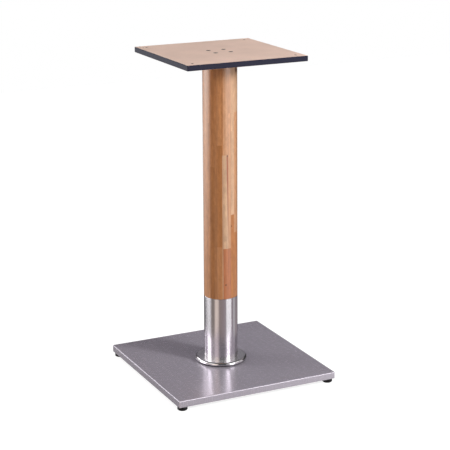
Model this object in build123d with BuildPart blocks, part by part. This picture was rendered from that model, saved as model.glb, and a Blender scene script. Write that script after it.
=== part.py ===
"""Pedestal table base: a turned wood column on a stainless foot, clamped by one tie rod.

Millimetres, +Z up, origin on the floor under the middle of the column.
"""

import os
from math import sqrt

from build123d import *

os.makedirs("parts", exist_ok=True)

# Whole stand
overall_height = 730.0
slip_play = 0.1  # radial play of a turned slip fit
thread_play = 0.06  # radial play between a plain thread and its nut
bolt_play = 0.5  # radial play of a clearance hole

# Levelling glides
pad_radius = 11.0
pad_height = 9.2
pad_floor_chamfer = 1.6
pad_top_chamfer = 0.6
stud_radius = 4.0
stud_tip = 0.8  # chamfer at the end of the stud
stud_grip = 6.0  # depth of the stud in its pad
stud_top_gap = 1.5  # room left over the stud, under the cover
foot_inset = 12.5  # glide centre from the outside of the cover
foot_seat_gap = 0.3  # pad from its nut when screwed right in
foot_nut_flats = 13.0
foot_nut_height = 6.0

# Ballast plate
ballast_thickness = 8.0
ballast_gap = 0.5  # to the inside of the cover
ballast_chamfer = 1.0

# Folded cover
base_size = 380.0
cover_height = 15.0
cover_wall = 1.0
fold_inner_radius = 0.5
corner_inner_radius = 1.0

# Steel sleeve and its collar
column_radius = 38.0
sleeve_wall = 1.5
sleeve_height = 154.0
locator_thickness = 6.0
collar_width = 20.5
collar_height = 9.8
collar_lip = 2.0  # flat turned in under the rim
collar_wall = 1.0
collar_play = 0.2

# Wood column
tenon_length = 60.0
tenon_lead = 1.5
edge_break = 0.4
rod_bore_play = 1.0

# Tie rod and what it clamps
rod_radius = 6.0
rod_tip = 1.0
rod_top_gap = 2.0  # rod end below the top of the cap
rod_tail = 1.5  # rod end below its nut
cap_rim = 6.0  # wood left around the cap
cap_thickness = 8.0
cap_nut_flats = 19.0
cap_nut_height = 10.0
nut_pocket_play = 1.5
washer_radius = 18.0
washer_thickness = 3.0
clamp_nut_flats = 19.0
clamp_nut_height = 6.0

# Mounting plate and its screws
plate_size = 280.0
plate_thickness = 12.0
plate_corner = 1.5
plate_chamfer = 1.0
hole_radius = 3.0
hole_inset = 20.0
screw_radius = 2.5
screw_head_radius = 5.0
screw_edge = 6.4  # screw centre from the edge of the cap
screw_socket_flats = 3.0
screw_socket_depth = 2.0
countersink_angle = 90.0

# Heights, stacked from the floor
foot_nut_bottom = pad_height + foot_seat_gap
ballast_bottom = foot_nut_bottom + foot_nut_height
ballast_top = ballast_bottom + ballast_thickness
cover_top = ballast_top + cover_wall
skirt_bottom = cover_top - cover_height
sleeve_top = cover_top + sleeve_height
plate_bottom = overall_height - plate_thickness
cap_bottom = plate_bottom - cap_thickness
clamp_nut_top = ballast_bottom - washer_thickness
clamp_nut_bottom = clamp_nut_top - clamp_nut_height

# Sizes that follow from a seat
sleeve_bore = column_radius - sleeve_wall
tenon_radius = sleeve_bore - slip_play
recess_radius = column_radius - cap_rim
cap_radius = recess_radius - slip_play
rod_hole_radius = rod_radius + bolt_play
screw_spacing = (cap_radius - screw_edge) * sqrt(2)
hole_spacing = plate_size - 2 * hole_inset
foot_spacing = base_size - 2 * foot_inset
nut_pocket_radius = cap_nut_flats / sqrt(3) + nut_pocket_play


def save(builder, name):
    """Label a finished piece and write it under that name."""
    builder.part.label = name
    export_step(builder.part, f"parts/{name}.step")


# Mounting plate: chamfered square with corner holes and sunk centre screws
with BuildPart() as top_plate:
    with BuildSketch(Plane.XY.offset(plate_bottom)):
        RectangleRounded(plate_size, plate_size, plate_corner)
    extrude(amount=plate_thickness)
    plate_faces = top_plate.faces().sort_by(Axis.Z)
    chamfer(plate_faces[0].edges() + plate_faces[-1].edges(), plate_chamfer)
    with Locations((0, 0, overall_height)):
        with GridLocations(hole_spacing, hole_spacing, 2, 2):
            Hole(hole_radius)
        with GridLocations(screw_spacing, screw_spacing, 2, 2):
            CounterSinkHole(
                screw_radius + bolt_play,
                screw_head_radius + thread_play,
                counter_sink_angle=countersink_angle,
            )
save(top_plate, "top_plate")

# Four socket screws, flush with the plate and as long as plate and cap together
head_depth = screw_head_radius - screw_radius
with BuildPart() as plate_screws:
    with BuildSketch(Plane.XY.offset(cap_bottom)):
        with GridLocations(screw_spacing, screw_spacing, 2, 2):
            Circle(screw_radius)
    extrude(amount=plate_thickness + cap_thickness)
    with Locations((0, 0, overall_height - head_depth / 2)):
        with GridLocations(screw_spacing, screw_spacing, 2, 2):
            Cone(screw_radius, screw_head_radius, head_depth)
    with BuildSketch(Plane.XY.offset(overall_height)):
        with GridLocations(screw_spacing, screw_spacing, 2, 2):
            RegularPolygon(screw_socket_flats / 2, 6, major_radius=False)
    extrude(amount=-screw_socket_depth, mode=Mode.SUBTRACT)
save(plate_screws, "plate_screws")

# Steel disc let into the top of the wood, tapped for the plate screws and the rod
with BuildPart() as column_cap:
    with BuildSketch(Plane.XY.offset(cap_bottom)):
        Circle(cap_radius)
        Circle(rod_radius + thread_play, mode=Mode.SUBTRACT)
        with GridLocations(screw_spacing, screw_spacing, 2, 2):
            Circle(screw_radius + thread_play, mode=Mode.SUBTRACT)
    extrude(amount=cap_thickness)
    cap_edges = column_cap.edges().filter_by(GeomType.CIRCLE)
    chamfer(cap_edges.group_by(SortBy.RADIUS)[-1], edge_break)
save(column_cap, "column_cap")

# Hexagon nut welded under the disc
with BuildPart() as cap_nut:
    with BuildSketch(Plane.XY.offset(cap_bottom)):
        RegularPolygon(cap_nut_flats / 2, 6, major_radius=False)
        Circle(rod_radius + thread_play, mode=Mode.SUBTRACT)
    extrude(amount=-cap_nut_height)
save(cap_nut, "cap_nut")

# Rod from under the ballast plate up into the cap
rod_bottom = clamp_nut_bottom - rod_tail
rod_top = plate_bottom - rod_top_gap
with BuildPart() as tie_rod:
    with BuildSketch(Plane.XY.offset(rod_bottom)):
        Circle(rod_radius)
    extrude(amount=rod_top - rod_bottom)
    chamfer(tie_rod.edges().filter_by(GeomType.CIRCLE), rod_tip)
save(tie_rod, "tie_rod")

# Turned column: tenon, shoulder on the sleeve, bore for the rod, recess for the cap
tenon_bottom = sleeve_top - tenon_length
pocket_floor = cap_bottom - cap_nut_height - nut_pocket_play
wood_bore = rod_radius + rod_bore_play
with BuildPart() as wood_column:
    with BuildSketch(Plane.XZ):
        with BuildLine():
            Polyline(
                (wood_bore, tenon_bottom),
                (tenon_radius - tenon_lead, tenon_bottom),
                (tenon_radius, tenon_bottom + tenon_lead),
                (tenon_radius, sleeve_top),
                (column_radius - edge_break, sleeve_top),
                (column_radius, sleeve_top + edge_break),
                (column_radius, plate_bottom),
                (recess_radius, plate_bottom),
                (recess_radius, cap_bottom),
                (nut_pocket_radius, cap_bottom),
                (nut_pocket_radius, pocket_floor),
                (wood_bore, pocket_floor),
                close=True,
            )
        make_face()
    revolve(axis=Axis.Z)
save(wood_column, "wood_column")

# Stainless tube that carries the shoulder of the wood
with BuildPart() as column_sleeve:
    with BuildSketch(Plane.XY.offset(cover_top)):
        Circle(column_radius)
        Circle(sleeve_bore, mode=Mode.SUBTRACT)
    extrude(amount=sleeve_height)
    top_rim = column_sleeve.faces().sort_by(Axis.Z)[-1].edges().sort_by(SortBy.RADIUS)[-1]
    chamfer(top_rim, edge_break)
save(column_sleeve, "column_sleeve")

# Disc that keeps the foot of the tube on the rod's axis
with BuildPart() as sleeve_locator:
    with BuildSketch(Plane.XY.offset(cover_top)):
        Circle(sleeve_bore - slip_play)
        Circle(rod_hole_radius, mode=Mode.SUBTRACT)
    extrude(amount=locator_thickness)
save(sleeve_locator, "sleeve_locator")

# Pressed ring with a flat top and a rolled rim, open underneath and turned in to a lip
collar_radius = column_radius + collar_width
collar_bore = column_radius + collar_play
collar_top = cover_top + collar_height
collar_middle = cover_top + collar_height / 2
rim_centre = collar_radius - collar_height / 2
with BuildPart() as collar_ring:
    with BuildSketch(Plane.XZ):
        with BuildLine():
            rolled_rim = ThreePointArc(
                (rim_centre, cover_top),
                (collar_radius, collar_middle),
                (rim_centre, collar_top),
            )
            Polyline(
                rolled_rim @ 1,
                (collar_bore, collar_top),
                (collar_bore, collar_top - collar_wall),
                (rim_centre, collar_top - collar_wall),
                (collar_radius - collar_wall, collar_middle),
                (rim_centre, cover_top + collar_wall),
                (rim_centre - collar_lip, cover_top + collar_wall),
                (rim_centre - collar_lip, cover_top),
                rolled_rim @ 0,
            )
        make_face()
    revolve(axis=Axis.Z)
save(collar_ring, "collar_ring")

# Cover folded from one sheet, its four corners welded and ground
inside_size = base_size - 2 * cover_wall
with BuildPart() as cover_inside:
    with BuildSketch(Plane.XY.offset(skirt_bottom)):
        RectangleRounded(inside_size, inside_size, corner_inner_radius)
    extrude(amount=cover_height - cover_wall)
    fillet(cover_inside.faces().sort_by(Axis.Z)[-1].edges(), fold_inner_radius)

with BuildPart() as base_cover:
    with BuildSketch(Plane.XY.offset(skirt_bottom)):
        RectangleRounded(base_size, base_size, corner_inner_radius + cover_wall)
    extrude(amount=cover_height)
    fillet(base_cover.faces().sort_by(Axis.Z)[-1].edges(), fold_inner_radius + cover_wall)
    add(cover_inside.part, mode=Mode.SUBTRACT)
    with Locations((0, 0, cover_top)):
        Hole(rod_hole_radius)
save(base_cover, "base_cover")

# Heavy plate that fills the cover, with holes for the rod and the glide studs
ballast_size = inside_size - 2 * ballast_gap
with BuildPart() as ballast_plate:
    with BuildSketch(Plane.XY.offset(ballast_bottom)):
        Rectangle(ballast_size, ballast_size)
        Circle(rod_hole_radius, mode=Mode.SUBTRACT)
        with GridLocations(foot_spacing, foot_spacing, 2, 2):
            Circle(stud_radius + bolt_play, mode=Mode.SUBTRACT)
    extrude(amount=ballast_thickness)
    outer_edges = ballast_plate.faces().sort_by(Axis.Z)[-1].outer_wire().edges()
    chamfer(outer_edges + ballast_plate.edges().filter_by(Axis.Z).filter_by(GeomType.LINE), ballast_chamfer)
save(ballast_plate, "ballast_plate")

# Washer and thin nut that pull the rod tight from below
with BuildPart() as clamp_washer:
    with BuildSketch(Plane.XY.offset(ballast_bottom)):
        Circle(washer_radius)
        Circle(rod_hole_radius, mode=Mode.SUBTRACT)
    extrude(amount=-washer_thickness)
save(clamp_washer, "clamp_washer")

with BuildPart() as clamp_nut:
    with BuildSketch(Plane.XY.offset(clamp_nut_top)):
        RegularPolygon(clamp_nut_flats / 2, 6, major_radius=False)
        Circle(rod_radius + thread_play, mode=Mode.SUBTRACT)
    extrude(amount=-clamp_nut_height)
save(clamp_nut, "clamp_nut")

# Weld nuts for the glides, one at each corner of the ballast plate
with BuildPart() as foot_nuts:
    with BuildSketch(Plane.XY.offset(ballast_bottom)):
        with GridLocations(foot_spacing, foot_spacing, 2, 2):
            RegularPolygon(foot_nut_flats / 2, 6, major_radius=False)
            Circle(stud_radius + thread_play, mode=Mode.SUBTRACT)
    extrude(amount=-foot_nut_height)
save(foot_nuts, "foot_nuts")

# Glides: a round pad with a stud moulded into it
stud_bottom = pad_height - stud_grip
stud_top = ballast_top - stud_top_gap
foot_places = GridLocations(foot_spacing, foot_spacing, 2, 2).locations
for number, place in enumerate(foot_places, start=1):
    foot_plane = Plane(place)
    with BuildPart() as foot_pad:
        with BuildSketch(foot_plane):
            Circle(pad_radius)
        extrude(amount=pad_height)
        chamfer(foot_pad.faces().sort_by(Axis.Z)[0].edges(), pad_floor_chamfer)
        chamfer(foot_pad.faces().sort_by(Axis.Z)[-1].edges(), pad_top_chamfer)
        with BuildSketch(foot_plane.offset(stud_bottom)):
            Circle(stud_radius + thread_play)
        extrude(amount=stud_grip, mode=Mode.SUBTRACT)
    save(foot_pad, f"foot_pad_{number}")

    with BuildPart() as foot_stud:
        with BuildSketch(foot_plane.offset(stud_bottom)):
            Circle(stud_radius)
        extrude(amount=stud_top - stud_bottom)
        chamfer(foot_stud.faces().sort_by(Axis.Z)[-1].edges(), stud_tip)
    save(foot_stud, f"foot_stud_{number}")
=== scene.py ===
"""Dress a packed pedestal table base: wood, steel and laminate finishes, screw threads and a studio.

Everything is in metres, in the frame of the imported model: +Z up, origin on the floor.
"""

from __future__ import annotations

import logging
import math
import random
from dataclasses import dataclass
from enum import Enum
from typing import Any

import bpy
from mathutils import Matrix, Vector

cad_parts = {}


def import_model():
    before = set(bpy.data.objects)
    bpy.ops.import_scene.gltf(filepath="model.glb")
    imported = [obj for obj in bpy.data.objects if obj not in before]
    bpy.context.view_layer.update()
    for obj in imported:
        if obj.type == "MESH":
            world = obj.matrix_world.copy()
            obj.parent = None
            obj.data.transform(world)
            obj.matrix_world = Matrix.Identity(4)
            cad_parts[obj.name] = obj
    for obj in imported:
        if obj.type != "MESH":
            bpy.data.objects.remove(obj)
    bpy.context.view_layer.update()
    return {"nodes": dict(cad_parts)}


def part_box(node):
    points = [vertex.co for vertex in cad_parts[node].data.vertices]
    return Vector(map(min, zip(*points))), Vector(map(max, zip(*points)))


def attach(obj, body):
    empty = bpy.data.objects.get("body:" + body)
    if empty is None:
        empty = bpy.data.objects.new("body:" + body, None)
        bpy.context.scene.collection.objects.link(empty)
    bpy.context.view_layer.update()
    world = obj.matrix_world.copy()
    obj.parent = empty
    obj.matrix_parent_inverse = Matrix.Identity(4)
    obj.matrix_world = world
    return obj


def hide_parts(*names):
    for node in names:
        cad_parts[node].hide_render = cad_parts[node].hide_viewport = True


LOG = logging.getLogger("table_base")
MM = 0.001
SEAM_FROM_CAMERA = math.radians(-176.0)

Colour = tuple[float, float, float]
Stop = tuple[float, Colour]
Socket = bpy.types.NodeSocket


def grey(level: float) -> Colour:
    """Return a neutral colour of that level."""
    return (level, level, level)


class WoodTone(Enum):
    """Tones of the staves, as linear colours under the lacquer."""

    DARK = (0.36, 0.145, 0.052)
    BROWN = (0.35, 0.136, 0.043)
    ORANGE = (0.385, 0.152, 0.051)
    ROSY = (0.455, 0.232, 0.120)
    PALE = (0.50, 0.305, 0.185)
    RED = (0.36, 0.125, 0.050)
    AMBER = (0.42, 0.178, 0.068)


class Brushing(Enum):
    """How the grit lines of a brushed sheet run."""

    AROUND = "around the axis"
    ACROSS = "along X on the face, upright on the skirts"


class NodeBench:
    """Lays out the nodes of one node tree."""

    def __init__(self, tree: bpy.types.NodeTree) -> None:
        """Take up a tree.

        Args:
            tree: The tree to work on.
        """
        self.tree = tree
        self.coords = self.node("ShaderNodeTexCoord")

    def node(self, kind: str, **settings: Any) -> bpy.types.Node:
        """Add a node.

        Args:
            kind: Node type.
            settings: Properties to set on it.

        Returns:
            The new node.
        """
        made = self.tree.nodes.new(kind)
        for key, value in settings.items():
            setattr(made, key, value)
        return made

    def feed(self, socket: Socket, value: Any) -> None:
        """Link an output to a socket, or set the socket to a constant."""
        if isinstance(value, Socket):
            self.tree.links.new(value, socket)
        elif isinstance(value, tuple) and socket.type == "RGBA":
            socket.default_value = (*value, 1.0)
        else:
            socket.default_value = value

    def math(self, operation: str, *values: Any) -> Socket:
        """Add a Math node.

        Args:
            operation: Name of the operation.
            values: Its inputs, as outputs of nodes or numbers.

        Returns:
            The result.
        """
        made = self.node("ShaderNodeMath", operation=operation)
        for socket, value in zip(made.inputs, values):
            self.feed(socket, value)
        return made.outputs[0]

    def split(self, vector: Socket) -> tuple[Socket, ...]:
        """Return the three parts of a vector."""
        made = self.node("ShaderNodeSeparateXYZ")
        self.feed(made.inputs[0], vector)
        return tuple(made.outputs)

    def join(self, x: Any, y: Any, z: Any) -> Socket:
        """Return a vector of three parts."""
        made = self.node("ShaderNodeCombineXYZ")
        for socket, value in zip(made.inputs, (x, y, z)):
            self.feed(socket, value)
        return made.outputs[0]

    def mix(self, factor: Any, first: Any, second: Any, blend: str = "MIX") -> Socket:
        """Mix two colours.

        Args:
            factor: Share of the second colour.
            first: First colour.
            second: Second colour.
            blend: Blend mode.

        Returns:
            The mixed colour.
        """
        made = self.node("ShaderNodeMix", data_type="RGBA", blend_type=blend)
        self.feed(made.inputs["Factor"], factor)
        self.feed(made.inputs[6], first)
        self.feed(made.inputs[7], second)
        return made.outputs[2]

    def ramp(self, factor: Any, stops: list[Stop], interpolation: str = "LINEAR") -> Socket:
        """Map a number to colours.

        Args:
            factor: Number from 0 to 1.
            stops: Places and colours, in order.
            interpolation: How the colours run between the stops.

        Returns:
            The colour.
        """
        made = self.node("ShaderNodeValToRGB")
        made.color_ramp.interpolation = interpolation
        elements = made.color_ramp.elements
        while len(elements) < len(stops):
            elements.new(1.0)
        while len(elements) > len(stops):
            elements.remove(elements[-1])
        for element, (place, colour) in zip(elements, stops):
            element.position = place
            element.color = (*colour, 1.0)
        self.feed(made.inputs[0], factor)
        return made.outputs[0]

    def remap(self, value: Any, start: float, end: float, low: float, high: float) -> Socket:
        """Map a range of numbers to another, clamped at its ends.

        Args:
            value: The number.
            start: Where the first range starts.
            end: Where the first range ends.
            low: What the start becomes.
            high: What the end becomes.

        Returns:
            The mapped number.
        """
        made = self.node("ShaderNodeMapRange")
        for socket, number in zip(made.inputs, (value, start, end, low, high)):
            self.feed(socket, number)
        return made.outputs[0]

    def noise(self, vector: Any, scale: float, detail: float = 3.0) -> Socket:
        """Return the value of a noise texture."""
        made = self.node("ShaderNodeTexNoise")
        self.feed(made.inputs["Vector"], vector)
        made.inputs["Scale"].default_value = scale
        made.inputs["Detail"].default_value = detail
        return made.outputs["Fac"]

    def spread(self, value: Any, low: float, high: float) -> Socket:
        """Map the middle range of a noise to a range of numbers."""
        return self.remap(value, 0.3, 0.7, low, high)

    def in_view(self) -> Socket:
        """Return 1 for what the camera sees directly and 0 for light and mirror images."""
        path = self.node("ShaderNodeLightPath")
        return self.math("MAXIMUM", path.outputs["Is Camera Ray"], path.outputs["Is Transmission Ray"])


class ShaderBench(NodeBench):
    """Lays out the nodes of one material around a Principled shader."""

    def __init__(self, name: str) -> None:
        """Start an empty material.

        Args:
            name: Name of the material.
        """
        self.material = bpy.data.materials.new(name)
        self.material.use_nodes = True
        super().__init__(self.material.node_tree)
        self.shader = self.tree.nodes["Principled BSDF"]

    def bump(self, height: Any, strength: float, distance: float) -> None:
        """Raise the surface by a height."""
        made = self.node("ShaderNodeBump")
        made.inputs["Strength"].default_value = strength
        made.inputs["Distance"].default_value = distance
        self.feed(made.inputs["Height"], height)
        self.feed(self.shader.inputs["Normal"], made.outputs[0])

    def set(self, **inputs: Any) -> None:
        """Feed inputs of the shader, named in lower case with underscores."""
        for key, value in inputs.items():
            self.feed(self.shader.inputs[key.replace("_", " ").title().replace("Ior", "IOR")], value)


@dataclass(frozen=True)
class DecorLaminate:
    """Compact laminate: a matt tan decor on both faces of a near black core."""

    low: float
    high: float
    decor: Colour = (0.80, 0.592, 0.497)
    core: Colour = (0.010, 0.010, 0.024)
    skin: float = 0.15 * MM
    cloud_scale: float = 14.0
    fleck_scale: float = 1500.0
    layers_per_metre: float = 1800.0
    edge_roughness: float = 0.46
    face_roughness: float = 0.58
    specular: float = 0.2
    relief: float = 0.12
    relief_depth: float = 0.05 * MM

    def build(self) -> bpy.types.Material:
        """Return the material."""
        bench = ShaderBench("decor_laminate")
        place = bench.coords.outputs["Object"]
        height = bench.split(place)[2]
        above = bench.math("GREATER_THAN", height, self.high - self.skin)
        below = bench.math("LESS_THAN", height, self.low + self.skin)
        on_face = bench.math("MAXIMUM", above, below)
        cloud = bench.spread(bench.noise(place, self.cloud_scale), 0.94, 1.05)
        fleck = bench.spread(bench.noise(place, self.fleck_scale, 2.0), 0.95, 1.05)
        tint = bench.math("MULTIPLY", cloud, fleck)
        face = bench.mix(1.0, self.decor, tint, "MULTIPLY")
        layer = bench.math("MULTIPLY", height, self.layers_per_metre)
        layers = bench.noise(bench.join(0.0, 0.0, layer), 1.0)
        edge = bench.mix(1.0, self.core, bench.spread(layers, 0.75, 1.5), "MULTIPLY")
        bench.set(
            base_color=bench.mix(on_face, edge, face),
            roughness=bench.remap(on_face, 0.0, 1.0, self.edge_roughness, self.face_roughness),
            specular_ior_level=self.specular,
        )
        bench.bump(fleck, self.relief, self.relief_depth)
        return bench.material


@dataclass(frozen=True)
class Stave:
    """One strip of the glued column, in three lengths from the top down.

    Its edge is in degrees around the column from the seam at the back, its joints are heights in metres.
    """

    edge: float
    top: WoodTone
    middle: WoodTone
    low: WoodTone
    upper_joint: float
    lower_joint: float


@dataclass(frozen=True)
class Knot:
    """A small dark knot, at degrees around the column and a height.

    Its width and length are halves, from its middle outwards.
    """

    turn: float
    height: float
    width: float
    length: float


@dataclass(frozen=True)
class Vein:
    """A dark vein that leans and fades as it runs down, with its place in degrees around the column."""

    turn: float = 200.0
    lean: float = 3.6
    top: float = 508.0 * MM
    length: float = 200.0 * MM
    width: float = 2.2 * MM
    tone: Colour = (0.25, 0.058, 0.012)


@dataclass(frozen=True)
class Grain:
    """One layer of grain: a noise drawn out along the staves, and the range it is spread over."""

    scale: float
    stretch: float
    detail: float
    dark: float
    light: float


class StaveBench(ShaderBench):
    """Lays out the nodes of the wood, with the places on the column at hand."""

    def __init__(self, name: str, staves: list[Stave], radius: float, seam: float) -> None:
        """Start the material.

        Args:
            name: Name of the material.
            staves: The staves, in turn from the seam.
            radius: Radius of the column.
            seam: Angle of the seam around the column, from +X.
        """
        super().__init__(name)
        self.staves = staves
        self.x, self.y, self.z = self.split(self.coords.outputs["Object"])
        around = self.math("ARCTAN2", self.y, self.x)
        turns = self.math("MULTIPLY_ADD", around, 1.0 / math.tau, -seam / math.tau)
        self.turn = self.math("FRACT", turns)
        self.arc = self.math("MULTIPLY", self.turn, math.tau * radius)

    def chart(self, values: list[Colour]) -> Socket:
        """Return one colour for each stave around the column."""
        stops = [(stave.edge / 360.0, value) for stave, value in zip(self.staves, values)]
        return self.ramp(self.turn, stops, "CONSTANT")

    def fibre(self, along: Socket, grain: Grain) -> Socket:
        """Return the noise of one layer of grain, at places moved along X."""
        drawn_out = self.math("MULTIPLY", self.z, grain.stretch)
        return self.noise(self.join(along, self.y, drawn_out), grain.scale, grain.detail)


@dataclass(frozen=True)
class StaveWood:
    """Lacquered wood turned from glued staves, which run the height of the column.

    The staves that face the front are listed, the others drawn. Each length of a stave takes its grain
    from grain from another place, which the shifts set.
    """

    low: float
    high: float
    radius: float
    seam: float
    pitch: float = 20.0
    seed: int = 11
    upper_joints: tuple[float, float] = (0.55, 0.86)
    lower_joints: tuple[float, float] = (0.14, 0.44)
    stave_shift: float = 3.7
    middle_shift: float = 0.31
    top_shift: float = 0.43
    glue: Colour = (0.20, 0.07, 0.026)
    glue_width: float = 0.3 * MM
    knot_tone: Colour = (0.10, 0.035, 0.016)
    vein: Vein = Vein()
    bands: Grain = Grain(170.0, 0.06, 3.0, 0.88, 1.12)
    lines: Grain = Grain(900.0, 0.06, 4.0, 0.90, 1.10)
    figure: Grain = Grain(120.0, 0.60, 4.0, 0.90, 1.10)
    pores: Grain = Grain(2200.0, 0.13, 2.0, 0.70, 1.0)
    pore_range: tuple[float, float] = (0.30, 0.40)
    glue_strength: Grain = Grain(60.0, 0.06, 1.0, 0.15, 0.7)
    specular: float = 0.15
    lacquer_roughness: float = 0.19
    relief: float = 0.08
    relief_depth: float = 0.05 * MM
    front: tuple[Stave, ...] = (
        Stave(164.0, WoodTone.AMBER, WoodTone.BROWN, WoodTone.AMBER, 530.0 * MM, 300.0 * MM),
        Stave(182.5, WoodTone.AMBER, WoodTone.PALE, WoodTone.PALE, 508.0 * MM, 285.0 * MM),
        Stave(185.0, WoodTone.ROSY, WoodTone.PALE, WoodTone.RED, 508.0 * MM, 296.0 * MM),
        Stave(203.0, WoodTone.ROSY, WoodTone.ROSY, WoodTone.RED, 600.0 * MM, 296.0 * MM),
        Stave(213.0, WoodTone.PALE, WoodTone.PALE, WoodTone.ORANGE, 560.0 * MM, 372.0 * MM),
        Stave(229.0, WoodTone.PALE, WoodTone.ROSY, WoodTone.ORANGE, 600.0 * MM, 330.0 * MM),
    )
    knots: tuple[Knot, ...] = (
        Knot(243.0, 694.0 * MM, 6.0 * MM, 9.0 * MM),
        Knot(217.0, 346.0 * MM, 1.8 * MM, 3.0 * MM),
        Knot(194.0, 212.0 * MM, 3.2 * MM, 2.2 * MM),
        Knot(200.6, 506.0 * MM, 2.0 * MM, 2.6 * MM),
    )

    @property
    def degree(self) -> float:
        """Length of one degree around the column."""
        return math.radians(self.radius)

    def staves(self) -> list[Stave]:
        """Return the staves in turn from the seam."""
        draw = random.Random(self.seed)
        plain = [WoodTone.BROWN, WoodTone.BROWN, WoodTone.ORANGE]
        mixed = plain + [WoodTone.ROSY, WoodTone.DARK, WoodTone.PALE]
        reach = self.high - self.low

        def drawn(place: int, tones: list[WoodTone]) -> Stave:
            """Return a stave of drawn tones and lengths, a number of pitches from the seam."""
            upper = self.low + reach * draw.uniform(*self.upper_joints)
            lower = self.low + reach * draw.uniform(*self.lower_joints)
            top, middle, low = [draw.choice(tones) for _ in range(3)]
            return Stave(place * self.pitch, top, middle, low, upper, lower)

        left = [drawn(place, mixed) for place in range(5)]
        left += [drawn(5, [WoodTone.AMBER]), drawn(7, plain)]
        right = [drawn(place, mixed) for place in range(13, 18)]
        return left + list(self.front) + right

    def build(self) -> bpy.types.Material:
        """Return the material."""
        bench = StaveBench("stave_wood", self.staves(), self.radius, self.seam)
        staves = bench.staves
        lower_joint = bench.chart([grey(stave.lower_joint) for stave in staves])
        upper_joint = bench.chart([grey(stave.upper_joint) for stave in staves])
        over_low = bench.math("GREATER_THAN", bench.z, lower_joint)
        over_high = bench.math("GREATER_THAN", bench.z, upper_joint)
        low = bench.chart([stave.low.value for stave in staves])
        middle = bench.chart([stave.middle.value for stave in staves])
        top = bench.chart([stave.top.value for stave in staves])
        tone = bench.mix(over_high, bench.mix(over_low, low, middle), top)

        block = bench.chart([grey(float(number)) for number, _ in enumerate(staves)])
        block = bench.math("MULTIPLY_ADD", over_low, self.middle_shift, block)
        block = bench.math("MULTIPLY_ADD", over_high, self.top_shift, block)
        along = bench.math("ADD", bench.x, bench.math("MULTIPLY", block, self.stave_shift))
        shade: Any = 1.0
        for grain in (self.bands, self.lines, self.figure):
            layer = bench.spread(bench.fibre(along, grain), grain.dark, grain.light)
            shade = bench.math("MULTIPLY", layer, shade)
        opened, closed = self.pore_range
        stops = [(opened, grey(self.pores.dark)), (closed, grey(self.pores.light))]
        speck = bench.ramp(bench.fibre(along, self.pores), stops)
        tone = bench.mix(1.0, tone, shade, "MULTIPLY")
        tone = bench.mix(1.0, tone, speck, "MULTIPLY")

        tone = bench.mix(self.glue_line(bench, along), tone, self.glue)
        tone = bench.mix(self.streak(bench), tone, self.vein.tone)
        for knot in self.knots:
            tone = bench.mix(self.blot(bench, knot), tone, self.knot_tone)
        lines = bench.fibre(along, self.lines)
        bench.set(
            base_color=tone,
            roughness=bench.spread(lines, 0.36, 0.46),
            specular_ior_level=self.specular,
            coat_weight=1.0,
            coat_roughness=self.lacquer_roughness,
        )
        height = bench.math("MULTIPLY", bench.spread(lines, 0.0, 1.0), speck)
        bench.bump(height, self.relief, self.relief_depth)
        return bench.material

    def glue_line(self, bench: StaveBench, along: Socket) -> Socket:
        """Mask the thin lines where two staves meet.

        Args:
            bench: Where the nodes are laid out.
            along: Places moved along X, for the noise.

        Returns:
            The mask, which comes and goes along the lines.
        """
        edges = [stave.edge / 360.0 for stave in bench.staves] + [1.0]
        before = bench.math("SUBTRACT", bench.turn, bench.chart([grey(edge) for edge in edges[:-1]]))
        after = bench.math("SUBTRACT", bench.chart([grey(edge) for edge in edges[1:]]), bench.turn)
        inset = bench.math("MULTIPLY", bench.math("MINIMUM", before, after), math.tau * self.radius)
        line = bench.remap(inset, 0.0, self.glue_width, 1.0, 0.0)
        grain = self.glue_strength
        strength = bench.spread(bench.fibre(along, grain), grain.dark, grain.light)
        return bench.math("MULTIPLY", line, strength)

    def streak(self, bench: StaveBench) -> Socket:
        """Mask the vein.

        Args:
            bench: Where the nodes are laid out.

        Returns:
            The mask.
        """
        vein = self.vein
        fall = bench.math("DIVIDE", bench.math("SUBTRACT", vein.top, bench.z), vein.length)
        middle = bench.math("MULTIPLY_ADD", fall, vein.lean * self.degree, vein.turn * self.degree)
        off = bench.math("ABSOLUTE", bench.math("SUBTRACT", bench.arc, middle))
        near = bench.remap(off, 0.5 * vein.width, vein.width, 1.0, 0.0)
        left = bench.remap(fall, 0.25, 1.0, 0.95, 0.0)
        begun = bench.math("GREATER_THAN", fall, 0.0)
        return bench.math("MULTIPLY", bench.math("MULTIPLY", near, left), begun)

    def blot(self, bench: StaveBench, knot: Knot) -> Socket:
        """Mask one knot, dark in the middle.

        Args:
            bench: Where the nodes are laid out.
            knot: The knot.

        Returns:
            The mask.
        """
        sideways = bench.math("SUBTRACT", bench.arc, knot.turn * self.degree)
        across = bench.math("DIVIDE", sideways, knot.width)
        up = bench.math("DIVIDE", bench.math("SUBTRACT", bench.z, knot.height), knot.length)
        length = bench.node("ShaderNodeVectorMath", operation="LENGTH")
        bench.feed(length.inputs[0], bench.join(across, up, 0.0))
        return bench.remap(length.outputs["Value"], 0.55, 1.0, 0.85, 0.0)


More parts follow.
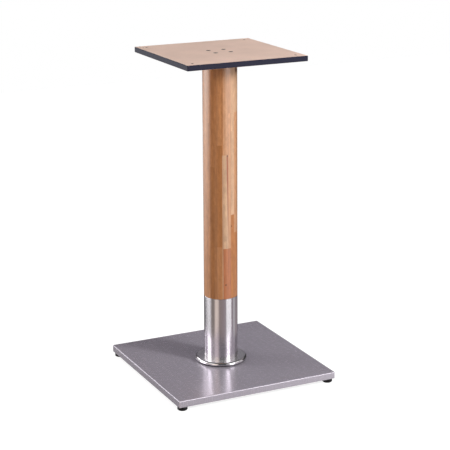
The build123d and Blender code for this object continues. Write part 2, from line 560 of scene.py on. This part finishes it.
@dataclass(frozen=True)
class BrushedStainless:
    """Stainless steel with fine grit lines."""

    name: str
    brushing: Brushing
    tone: Colour = (0.66, 0.63, 0.66)
    roughness: float = 0.20
    metallic: float = 1.0
    anisotropy: float = 0.65
    lines_per_metre: float = 4000.0
    breaks_per_turn: float = 0.30 * math.tau
    face_breaks_per_metre: float = 60.0
    skirt_breaks_per_metre: float = 9.0
    cloud_scale: float = 7.0
    roughness_swing: float = 0.02
    relief: float = 0.006
    relief_depth: float = 0.02 * MM

    def grit(self, bench: ShaderBench) -> Socket:
        """Lay the grit lines.

        Args:
            bench: Where the nodes are laid out.

        Returns:
            A noise drawn out along the lines.
        """
        x, y, z = bench.split(bench.coords.outputs["Object"])
        fine = self.lines_per_metre
        if self.brushing is Brushing.AROUND:
            breaks = self.breaks_per_turn / math.tau
            run = bench.math("MULTIPLY", bench.math("ARCTAN2", y, x), breaks)
            return bench.noise(bench.join(run, 0.0, bench.math("MULTIPLY", z, fine)), 1.0, 4.0)
        upward = bench.math("ABSOLUTE", bench.split(bench.coords.outputs["Normal"])[2])
        on_face = bench.math("GREATER_THAN", upward, 0.7)
        run = bench.math("MULTIPLY", x, self.face_breaks_per_metre)
        face = bench.noise(bench.join(run, bench.math("MULTIPLY", y, fine), 0.0), 1.0, 4.0)
        across = bench.math("MULTIPLY", bench.math("ADD", x, y), fine)
        run = bench.math("MULTIPLY", z, self.skirt_breaks_per_metre)
        skirt = bench.noise(bench.join(across, 0.0, run), 1.0, 4.0)
        chosen = bench.node("ShaderNodeMix", data_type="FLOAT")
        for socket, value in zip(chosen.inputs[0:1] + chosen.inputs[2:4], (on_face, skirt, face)):
            bench.feed(socket, value)
        return chosen.outputs[0]

    def tangent(self, bench: ShaderBench) -> Socket:
        """Return the direction of the lines on the surface."""
        if self.brushing is Brushing.AROUND:
            return bench.node("ShaderNodeTangent", axis="Z").outputs[0]
        x, y, z = bench.split(bench.coords.outputs["Normal"])
        upright = bench.math("ADD", bench.math("ABSOLUTE", x), bench.math("ABSOLUTE", y))
        return bench.join(z, 0.0, upright)

    def build(self) -> bpy.types.Material:
        """Return the material."""
        bench = ShaderBench(self.name)
        lines = self.grit(bench)
        cloud = bench.noise(bench.coords.outputs["Object"], self.cloud_scale, 2.0)
        level = bench.math("MULTIPLY", bench.spread(lines, 0.96, 1.04), bench.spread(cloud, 0.97, 1.03))
        smooth, rough = self.roughness - self.roughness_swing, self.roughness + self.roughness_swing
        bench.set(
            base_color=bench.mix(1.0, self.tone, level, "MULTIPLY"),
            metallic=self.metallic,
            roughness=bench.spread(lines, smooth, rough),
            tangent=self.tangent(bench),
            anisotropic=self.anisotropy,
            anisotropic_rotation=0.25,
        )
        bench.bump(lines, self.relief, self.relief_depth)
        return bench.material


@dataclass(frozen=True)
class PolishedSteel:
    """Mirror polished steel with faint wiping marks, satin on its flat top, with painted shade darkening
    it under its rim.
    """

    rim: float
    top: float
    tone: Colour = (0.86, 0.84, 0.86)
    # Painted shade: share of the colour left under the rim, where the shadow of the rolled rim falls.
    under_rim_shade: float = 0.25
    under_rim_shade_fade: float = 1.5 * MM
    skin: float = 0.05 * MM
    satin_metallic: float = 0.82
    satin_roughness: float = 0.16
    haze_scale: float = 90.0

    def build(self) -> bpy.types.Material:
        """Return the material."""
        bench = ShaderBench("polished_steel")
        place = bench.coords.outputs["Object"]
        height = bench.split(place)[2]
        haze = bench.noise(place, self.haze_scale)
        # Painted shade: below the rim's widest line the colour darkens, standing in for the shadow under
        # the rolled rim.
        clear = bench.remap(height, self.rim - self.under_rim_shade_fade, self.rim, self.under_rim_shade, 1.0)
        level = bench.math("MULTIPLY", bench.spread(haze, 0.96, 1.02), clear)
        satin = bench.math("GREATER_THAN", height, self.top - self.skin)
        polish = bench.spread(haze, 0.05, 0.10)
        bench.set(
            base_color=bench.mix(1.0, self.tone, level, "MULTIPLY"),
            metallic=bench.remap(satin, 0.0, 1.0, 1.0, self.satin_metallic),
            roughness=bench.math("MULTIPLY_ADD", satin, self.satin_roughness, polish),
        )
        return bench.material


@dataclass(frozen=True)
class PlatedSteel:
    """Plain steel with a thin, slightly cloudy plating or oxide."""

    name: str
    tone: Colour
    metallic: float = 1.0
    roughness: float = 0.38
    roughness_swing: float = 0.08
    cloud_scale: float = 60.0
    grit_scale: float = 1600.0
    relief: float = 0.10
    relief_depth: float = 0.05 * MM

    def build(self) -> bpy.types.Material:
        """Return the material."""
        bench = ShaderBench(self.name)
        place = bench.coords.outputs["Object"]
        cloud = bench.noise(place, self.cloud_scale, 4.0)
        grit = bench.noise(place, self.grit_scale, 2.0)
        smooth, rough = self.roughness - self.roughness_swing, self.roughness + self.roughness_swing
        bench.set(
            base_color=bench.mix(1.0, self.tone, bench.spread(cloud, 0.85, 1.12), "MULTIPLY"),
            metallic=self.metallic,
            roughness=bench.spread(cloud, smooth, rough),
        )
        bench.bump(grit, self.relief, self.relief_depth)
        return bench.material


@dataclass(frozen=True)
class GlidePlastic:
    """Black moulded plastic with a fine spark grain and scuffed foot."""

    tone: Colour = (0.009, 0.009, 0.010)
    scuff: Colour = (0.040, 0.040, 0.040)
    scuff_height: float = 1.2 * MM
    scuff_scale: float = 420.0
    grain_scale: float = 2600.0
    specular: float = 0.2
    relief: float = 0.25
    relief_depth: float = 0.06 * MM

    def build(self) -> bpy.types.Material:
        """Return the material."""
        bench = ShaderBench("glide_plastic")
        place = bench.coords.outputs["Object"]
        grain = bench.noise(place, self.grain_scale, 2.0)
        low = bench.math("LESS_THAN", bench.split(place)[2], self.scuff_height)
        worn = bench.math("MULTIPLY", low, bench.noise(place, self.scuff_scale))
        bench.set(
            base_color=bench.mix(worn, self.tone, self.scuff),
            roughness=bench.spread(grain, 0.42, 0.56),
            specular_ior_level=self.specular,
        )
        bench.bump(grain, self.relief, self.relief_depth)
        return bench.material


def paint(piece: bpy.types.Object, material: bpy.types.Material) -> None:
    """Give a piece one material."""
    piece.data.materials.clear()
    piece.data.materials.append(material)
    LOG.info("%s wears %s", piece.name, material.name)


def select_only(piece: bpy.types.Object) -> None:
    """Select one object and make it active."""
    bpy.ops.object.select_all(action="DESELECT")
    piece.select_set(True)
    bpy.context.view_layer.objects.active = piece


@dataclass
class ThreadedStud:
    """A screw thread cut on a rod, as a core with a helical ridge on it."""

    name: str
    centre: tuple[float, float]
    low: float
    high: float
    radius: float
    pitch: float
    tip: float
    facets: int = 40
    depth_per_pitch: float = 0.58
    half_tooth_per_pitch: float = 0.44
    tip_bevel: float = 0.6
    sunk_root: float = 1.2
    weld: float = 1e-6
    crease: float = math.radians(35)

    @property
    def depth(self) -> float:
        """Depth of the thread."""
        return self.depth_per_pitch * self.pitch

    def core(self) -> bpy.types.Object:
        """Model the core with a chamfer at its upper end.

        Returns:
            The core.
        """
        x, y = self.centre
        length = self.high - self.low
        bpy.ops.object.select_all(action="DESELECT")
        bpy.ops.mesh.primitive_cylinder_add(
            vertices=self.facets, radius=self.radius - self.depth, depth=length,
            location=(x, y, self.low + length / 2),
        )
        rod = bpy.context.object
        bpy.ops.object.transform_apply(location=True, rotation=True, scale=True)
        bpy.ops.object.mode_set(mode="EDIT")
        bpy.ops.mesh.select_all(action="DESELECT")
        bpy.ops.object.mode_set(mode="OBJECT")
        for edge in rod.data.edges:
            ends = [rod.data.vertices[index].co.z for index in edge.vertices]
            edge.select = min(ends) > self.high - self.tip
        bpy.ops.object.mode_set(mode="EDIT")
        bpy.ops.mesh.select_mode(type="EDGE")
        bpy.ops.mesh.bevel(offset=self.tip * self.tip_bevel, segments=2)
        bpy.ops.object.mode_set(mode="OBJECT")
        return rod

    def ridge(self) -> bpy.types.Object:
        """Sweep a triangular tooth into a helix.

        Returns:
            The ridge, closed at both ends.
        """
        x, y = self.centre
        turns = max(1, int((self.high - self.low - 2 * self.tip) / self.pitch) - 1)
        bpy.ops.object.select_all(action="DESELECT")
        bpy.ops.mesh.primitive_circle_add(vertices=3, radius=self.pitch, fill_type="NGON")
        tooth = bpy.context.object
        root = self.radius - self.depth * self.sunk_root
        half = self.half_tooth_per_pitch * self.pitch
        start = self.low + self.tip + self.pitch
        outline = [(root, -half), (self.radius, 0.0), (root, half)]
        for vertex, (reach, rise) in zip(tooth.data.vertices, outline):
            vertex.co = (reach, 0.0, rise)
        sweep = tooth.modifiers.new("helix", "SCREW")
        sweep.axis = "Z"
        sweep.angle = math.tau
        sweep.screw_offset = self.pitch
        sweep.iterations = turns
        sweep.steps = self.facets
        sweep.render_steps = self.facets
        sweep.use_merge_vertices = False
        select_only(tooth)
        bpy.ops.object.modifier_apply(modifier=sweep.name)
        tooth.data.transform(Matrix.Translation((x, y, start)))
        bpy.ops.object.mode_set(mode="EDIT")
        bpy.ops.mesh.select_all(action="SELECT")
        bpy.ops.mesh.remove_doubles(threshold=self.weld)
        bpy.ops.mesh.fill_holes(sides=3)
        bpy.ops.mesh.select_all(action="SELECT")
        bpy.ops.mesh.normals_make_consistent(inside=False)
        bpy.ops.object.mode_set(mode="OBJECT")
        return tooth

    def build(self) -> bpy.types.Object:
        """Join core and ridge into one piece.

        Returns:
            The threaded rod.
        """
        rod, ridge = self.core(), self.ridge()
        select_only(rod)
        ridge.select_set(True)
        bpy.ops.object.join()
        rod.name = self.name
        rod.data.name = self.name
        bpy.ops.object.shade_smooth_by_angle(angle=self.crease)
        return rod


@dataclass
class MountingPlate:
    """The plate under the table top, with its sunk screws."""

    nodes: dict[str, bpy.types.Object]

    def dress(self) -> None:
        """Give plate and screws their finishes."""
        low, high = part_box("top_plate")
        black_oxide = PlatedSteel("black_oxide", grey(0.012), metallic=0.2, roughness=0.5)
        paint(self.nodes["top_plate"], DecorLaminate(low.z, high.z).build())
        paint(self.nodes["plate_screws"], black_oxide.build())


@dataclass
class WoodColumn:
    """The turned column and the steel that clamps it."""

    nodes: dict[str, bpy.types.Object]
    seam: float
    steel: bpy.types.Material

    def dress(self) -> None:
        """Give the wood its staves and the hidden steel its plating."""
        sleeve_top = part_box("column_sleeve")[1].z
        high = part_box("wood_column")[1].z
        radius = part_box("column_sleeve")[1].x
        paint(self.nodes["wood_column"], StaveWood(sleeve_top, high, radius, self.seam).build())
        for name in ("column_cap", "cap_nut", "tie_rod", "clamp_washer", "clamp_nut"):
            paint(self.nodes[name], self.steel)


@dataclass
class SteelFoot:
    """The sleeve, collar and folded base with its ballast."""

    nodes: dict[str, bpy.types.Object]
    steel: bpy.types.Material

    def dress(self) -> None:
        """Give the bright pieces their brushed or polished finish and the rest its plating."""
        sleeve = BrushedStainless("turned_stainless", Brushing.AROUND, roughness=0.17, anisotropy=0.75)
        sheet = BrushedStainless(
            "brushed_sheet", Brushing.ACROSS, (0.635, 0.588, 0.665),
            roughness=0.26, metallic=0.68, anisotropy=0.9,
        )
        mill_scale = PlatedSteel("mill_scale", (0.11, 0.115, 0.125), metallic=0.8, roughness=0.5)
        paint(self.nodes["column_sleeve"], sleeve.build())
        paint(self.nodes["base_cover"], sheet.build())
        low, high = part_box("collar_ring")
        paint(self.nodes["collar_ring"], PolishedSteel((low.z + high.z) / 2, high.z).build())
        paint(self.nodes["ballast_plate"], mill_scale.build())
        for name in ("sleeve_locator", "foot_nuts"):
            paint(self.nodes[name], self.steel)


@dataclass
class LevellingGlides:
    """Four black pads on threaded studs."""

    nodes: dict[str, bpy.types.Object]
    steel: bpy.types.Material
    count: int = 4
    pitch: float = 1.25 * MM
    tip: float = 0.8 * MM

    def build(self) -> None:
        """Model each stud's thread and dress the pads."""
        plastic = GlidePlastic().build()
        for number in range(1, self.count + 1):
            low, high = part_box(f"foot_stud_{number}")
            middle = (low + high) / 2
            stud = ThreadedStud(
                f"glide_thread_{number}", (middle.x, middle.y), low.z, high.z, (high.x - low.x) / 2,
                self.pitch, self.tip,
            ).build()
            paint(stud, self.steel)
            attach(stud, f"foot_{number}")
            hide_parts(f"foot_stud_{number}")
            paint(self.nodes[f"foot_pad_{number}"], plastic)


@dataclass(frozen=True)
class Panel:
    """A soft panel of the surroundings, which lights the object and shows in the metal.

    Its turn and width are in degrees around the object, the turn from the camera to its right. Heights
    are upward parts of a direction, from -1 to 1, and each level is a height with the radiance there.
    """

    name: str
    turn: float
    width: float
    edge: float
    low: float
    high: float
    levels: tuple[tuple[float, float], ...]
    fade: float = 0.07

    def mask(self, bench: NodeBench, turn: Socket, rise: Socket) -> Socket:
        """Cover the panel's part of the surroundings.

        Args:
            bench: Where the nodes are laid out.
            turn: Way around the object, from 0 at the back to 1.
            rise: Upward part of the direction.

        Returns:
            The mask.
        """
        offset = bench.math("FRACT", bench.math("SUBTRACT", turn, share(self.turn) - 0.5))
        sideways = bench.math("ABSOLUTE", bench.math("SUBTRACT", offset, 0.5))
        away = bench.math("MULTIPLY", sideways, 360.0)
        across = bench.remap(away, self.width / 2, self.width / 2 + self.edge, 1.0, 0.0)
        over = bench.remap(rise, self.low - self.fade, self.low, 0.0, 1.0)
        under = bench.remap(rise, self.high, self.high + self.fade, 1.0, 0.0)
        return bench.math("MULTIPLY", across, bench.math("MULTIPLY", over, under))

    def glow(self, bench: NodeBench, rise: Socket) -> Any:
        """Return the panel's radiance at each height."""
        if len(self.levels) == 1:
            return grey(self.levels[0][1])
        place = bench.math("MULTIPLY_ADD", rise, 0.5, 0.5)
        stops = [((height + 1.0) / 2, grey(level)) for height, level in self.levels]
        return bench.ramp(place, stops)


@dataclass(frozen=True)
class Lamp:
    """A square soft lamp, at degrees to the right of the camera and above the horizon."""

    name: str
    turn: float
    rise: float
    size: float
    power: float
    distance: float = 2.2

    def hang(self, camera_turn: float, aim: Vector) -> None:
        """Add the lamp.

        Args:
            camera_turn: Angle of the camera around the object.
            aim: Where the lamp points.
        """
        data = bpy.data.lights.new(self.name, "AREA")
        data.size = self.size
        data.energy = self.power
        made = bpy.data.objects.new(self.name, data)
        made.visible_glossy = False
        bpy.context.scene.collection.objects.link(made)
        angle, lift = camera_turn + math.radians(self.turn), math.radians(self.rise)
        flat = math.cos(lift)
        away = Vector((math.cos(angle) * flat, math.sin(angle) * flat, math.sin(lift)))
        facing = away.to_track_quat("Z", "Y").to_matrix().to_4x4()
        made.matrix_world = Matrix.Translation(aim + away * self.distance) @ facing


def share(angle: float) -> float:
    """Return the place of an angle on a ramp of the full circle, which starts at the back."""
    return (angle + 180.0) / 360.0


def even(level: float) -> tuple[tuple[float, float], ...]:
    """Return the levels of a panel that is equally bright all over."""
    return ((0.0, level),)


LEFT_LEVELS = ((-0.42, 0.36), (-0.37, 0.40), (-0.34, 0.52), (-0.31, 0.85))
GLOSS_LEVELS = ((-0.30, 0.9), (-0.26, 1.6), (-0.21, 3.2), (-0.16, 5.6))
RIGHT_LEVELS = (
    (-0.40, 0.16), (-0.368, 0.20), (-0.345, 1.35), (-0.31, 1.5),
    (-0.26, 1.5), (-0.22, 2.0), (-0.16, 3.4), (-0.06, 3.6),
)
WINDOW_LEVELS = ((-1.0, 1.6), (0.60, 1.6), (0.80, 0.12), (1.0, 0.12))


@dataclass
class Studio:
    """White floor, panels of soft light around the object and the camera of the photograph."""

    camera_place: tuple[float, float, float] = (-1.34146, -2.77907, 1.22109)
    camera_aim: tuple[float, float, float] = (0.00672, -0.00960, 0.34235)
    lens: float = 115.34
    sensor: float = 36.0
    roll: float = math.radians(-0.216)
    floor_size: float = 7.0
    floor_tone: float = 0.32
    floor_white: float = 0.84
    walls: tuple[Stop, ...] = (
        (-180.0, (0.100, 0.092, 0.115)),
        (-166.0, (0.095, 0.087, 0.105)),
        (-158.0, (0.070, 0.065, 0.070)),
        (-132.0, (0.055, 0.050, 0.055)),
        (-126.0, grey(0.255)),
        (-118.0, grey(0.220)),
        (-112.0, grey(0.235)),
        (-78.0, (0.320, 0.275, 0.250)),
        (-48.0, (0.300, 0.260, 0.230)),
        (-36.0, (1.000, 0.860, 0.750)),
        (-20.0, (1.000, 0.860, 0.750)),
        (-9.0, (0.365, 0.300, 0.275)),
        (18.0, (0.390, 0.325, 0.325)),
        (30.0, (0.440, 0.390, 0.400)),
        (84.0, (0.350, 0.310, 0.330)),
        (92.0, (0.330, 0.290, 0.305)),
        (98.0, grey(0.640)),
        (106.0, grey(0.640)),
        (114.0, (0.440, 0.385, 0.400)),
        (140.0, (0.400, 0.355, 0.365)),
        (158.0, (0.160, 0.150, 0.165)),
        (168.0, (0.125, 0.115, 0.130)),
        (180.0, (0.100, 0.092, 0.115)),
    )
    panels: tuple[Panel, ...] = (
        Panel("ceiling", 0.0, 360.0, 1.0, 0.75, 1.0, even(0.12), fade=0.30),
        Panel("dark front", 12.0, 40.0, 8.0, -0.05, 1.0, even(0.08)),
        Panel("dusk", -16.0, 88.0, 18.0, -0.18, -0.05, even(0.12), fade=0.06),
        Panel("left window", -88.0, 104.0, 8.0, 0.50, 1.0, WINDOW_LEVELS),
        Panel("right window", 63.0, 66.0, 6.0, 0.50, 1.0, WINDOW_LEVELS),
        Panel("dark back", 138.0, 44.0, 8.0, -0.26, 0.45, even(0.04), fade=0.05),
        Panel("fold strip", -136.0, 22.0, 5.0, 0.38, 0.54, even(3.6), fade=0.04),
        Panel("edge card", -128.0, 44.0, 8.0, -0.27, -0.05, even(1.0), fade=0.05),
        Panel("wood gloss", -97.0, 26.0, 22.0, -0.27, -0.05, GLOSS_LEVELS, fade=0.05),
        Panel("left softbox, low", -88.5, 23.0, 7.0, -1.0, -0.30, LEFT_LEVELS, fade=0.04),
        Panel("left softbox", -88.5, 23.0, 7.0, -0.02, 0.50, even(4.1)),
        Panel("right softbox, low", 57.0, 33.0, 6.0, -1.0, -0.06, RIGHT_LEVELS),
        Panel("right softbox", 52.5, 18.0, 4.0, -0.02, 0.50, even(4.3)),
    )
    lamps: tuple[Lamp, ...] = (
        Lamp("key", 59.5, 26.0, 0.30, 39.0),
        Lamp("front", -12.0, 48.0, 0.5, 2.0),
        Lamp("fill", -100.0, 12.0, 0.6, 15.0),
    )

    @property
    def camera_turn(self) -> float:
        """Angle of the camera around the column's axis, from +X."""
        return math.atan2(self.camera_place[1], self.camera_place[0])

    def camera(self) -> None:
        """Place the camera."""
        data = bpy.data.cameras.new("camera")
        data.lens = self.lens
        data.sensor_width = self.sensor
        made = bpy.data.objects.new("camera", data)
        bpy.context.scene.collection.objects.link(made)
        place = Vector(self.camera_place)
        aim = (Vector(self.camera_aim) - place).to_track_quat("-Z", "Y").to_matrix().to_4x4()
        made.matrix_world = Matrix.Translation(place) @ aim @ Matrix.Rotation(self.roll, 4, "Z")
        bpy.context.scene.camera = made

    def floor(self) -> None:
        """Lay a white floor that shows the object's shadow."""
        bpy.ops.object.select_all(action="DESELECT")
        bpy.ops.mesh.primitive_plane_add(size=self.floor_size)
        made = bpy.context.object
        made.name = "studio_floor"
        made.visible_glossy = False
        bench = ShaderBench("floor_paper")
        bench.set(
            base_color=grey(self.floor_tone),
            roughness=1.0,
            specular_ior_level=0.0,
            emission_color=grey(1.0),
            emission_strength=bench.math("MULTIPLY", bench.in_view(), self.floor_white),
        )
        paint(made, bench.material)

    def world(self) -> None:
        """Surround the object with its panels, in front of a plain white backdrop."""
        world = bpy.data.worlds.new("studio")
        bpy.context.scene.world = world
        world.use_nodes = True
        bench = NodeBench(world.node_tree)
        x, y, rise = bench.split(bench.coords.outputs["Generated"])
        around = bench.math("SUBTRACT", bench.math("ARCTAN2", y, x), self.camera_turn + math.pi)
        turn = bench.math("FRACT", bench.math("DIVIDE", around, math.tau))
        room = bench.ramp(turn, [(share(angle), colour) for angle, colour in self.walls])
        for panel in self.panels:
            room = bench.mix(panel.mask(bench, turn, rise), room, panel.glow(bench, rise))
            room.node.label = panel.name
        backdrop = bench.mix(bench.in_view(), room, grey(1.0))
        bench.feed(bench.tree.nodes["Background"].inputs["Color"], backdrop)

    def build(self) -> None:
        """Set up floor, world, lamps, camera and colour management."""
        bpy.context.scene.view_settings.view_transform = "Standard"
        self.floor()
        self.world()
        for lamp in self.lamps:
            lamp.hang(self.camera_turn, Vector(self.camera_aim))
        self.camera()


def main() -> None:
    """Build the classes in order."""
    logging.basicConfig(level=logging.INFO, format="%(name)s: %(message)s")
    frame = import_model()
    nodes = frame["nodes"]
    studio = Studio()
    zinc = PlatedSteel("zinc_plate", (0.50, 0.50, 0.485)).build()
    seam = studio.camera_turn + SEAM_FROM_CAMERA
    MountingPlate(nodes).dress()
    WoodColumn(nodes, seam, zinc).dress()
    SteelFoot(nodes, zinc).dress()
    LevellingGlides(nodes, zinc).build()
    studio.build()


if __name__ == "__main__":
    main()
